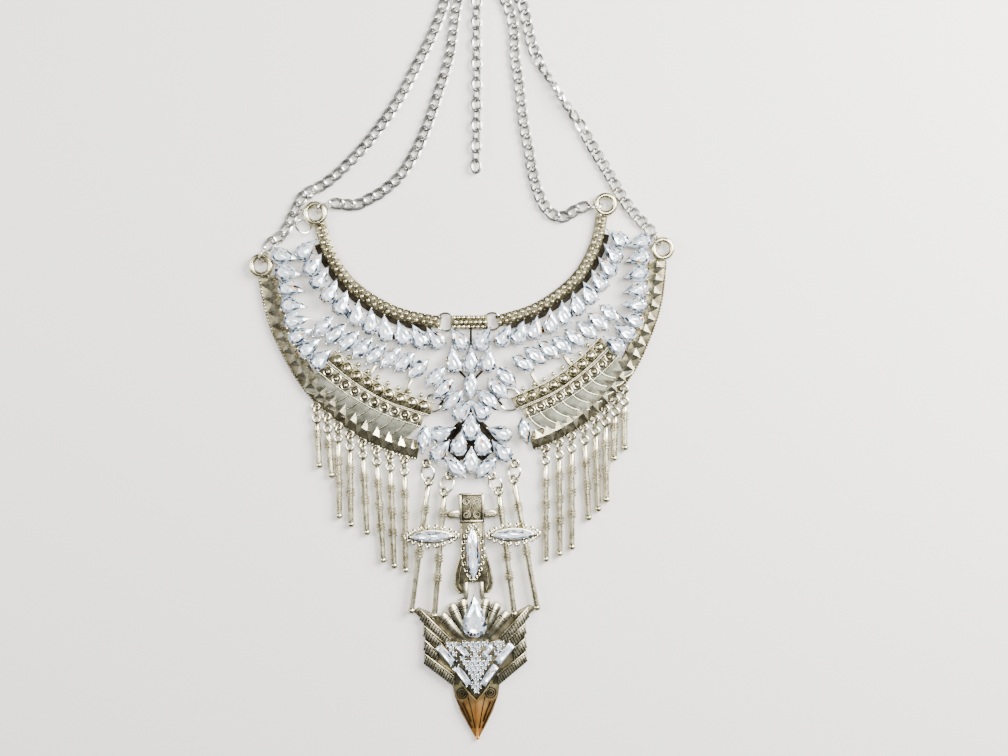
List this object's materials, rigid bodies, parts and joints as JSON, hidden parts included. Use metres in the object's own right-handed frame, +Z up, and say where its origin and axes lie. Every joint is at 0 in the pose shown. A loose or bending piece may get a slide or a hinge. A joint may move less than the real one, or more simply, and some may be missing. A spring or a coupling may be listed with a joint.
{
  "type": "bib necklace",
  "caption": "Bib necklace laid flat: two cast wings of crystals, a centre fan, turned drops, a feathered pendant and chains to a clasp.",
  "frame": {"origin": "on the surface that the necklace lies on, under the middle of its box", "axes": "+Y from the pendant's tip to the clasp, +Z up out of the surface, +X to the right seen from above"},
  "size_m": [0.1698, 0.3202, 0.0062],
  "materials": {
    "antique_silver": "antiqued cast silver plate",
    "bright_silver": "bright silver plated wire",
    "chain_steel": "rhodium plated chain",
    "crystal": "foil-backed clear crystal"
  },
  "bodies": {
    "root": {"wing_frame_left": "antique_silver", "neckline_stones_left": "crystal", "edge_stones_left": "crystal", "middle_stones_left": "crystal", "corner_stone_left": "crystal", "bar_stone_left": "crystal", "drop_left_1": "antique_silver", "drop_left_2": "antique_silver", "drop_left_3": "antique_silver", "drop_left_4": "antique_silver", "drop_left_5": "antique_silver", "drop_left_6": "antique_silver", "drop_left_7": "antique_silver", "drop_left_8": "antique_silver", "collar_link_left": "bright_silver", "lower_link_left": "bright_silver", "chain_ring_outer_left": "bright_silver", "chain_ring_inner_left": "bright_silver", "end_ring_left": "bright_silver", "pendant_ring_left_1": "bright_silver", "pendant_ring_left_2": "bright_silver", "chain_outer_left": "chain_steel", "chain_inner_left": "chain_steel", "wing_frame_right": "antique_silver", "neckline_stones_right": "crystal", "edge_stones_right": "crystal", "middle_stones_right": "crystal", "corner_stone_right": "crystal", "bar_stone_right": "crystal", "drop_right_1": "antique_silver", "drop_right_2": "antique_silver", "drop_right_3": "antique_silver", "drop_right_4": "antique_silver", "drop_right_5": "antique_silver", "drop_right_6": "antique_silver", "drop_right_7": "antique_silver", "drop_right_8": "antique_silver", "collar_link_right": "bright_silver", "lower_link_right": "bright_silver", "chain_ring_outer_right": "bright_silver", "chain_ring_inner_right": "bright_silver", "end_ring_right": "bright_silver", "pendant_ring_right_1": "bright_silver", "pendant_ring_right_2": "bright_silver", "chain_outer_right": "chain_steel", "chain_inner_right": "chain_steel", "center_frame": "antique_silver", "pendant_frame": "antique_silver", "center_stones": "crystal", "plate_stone": "crystal", "pendant_pear_stone": "crystal", "pendant_pave": "crystal", "extension_chain": "chain_steel", "clasp": "bright_silver"}
  },
  "joints": []
}
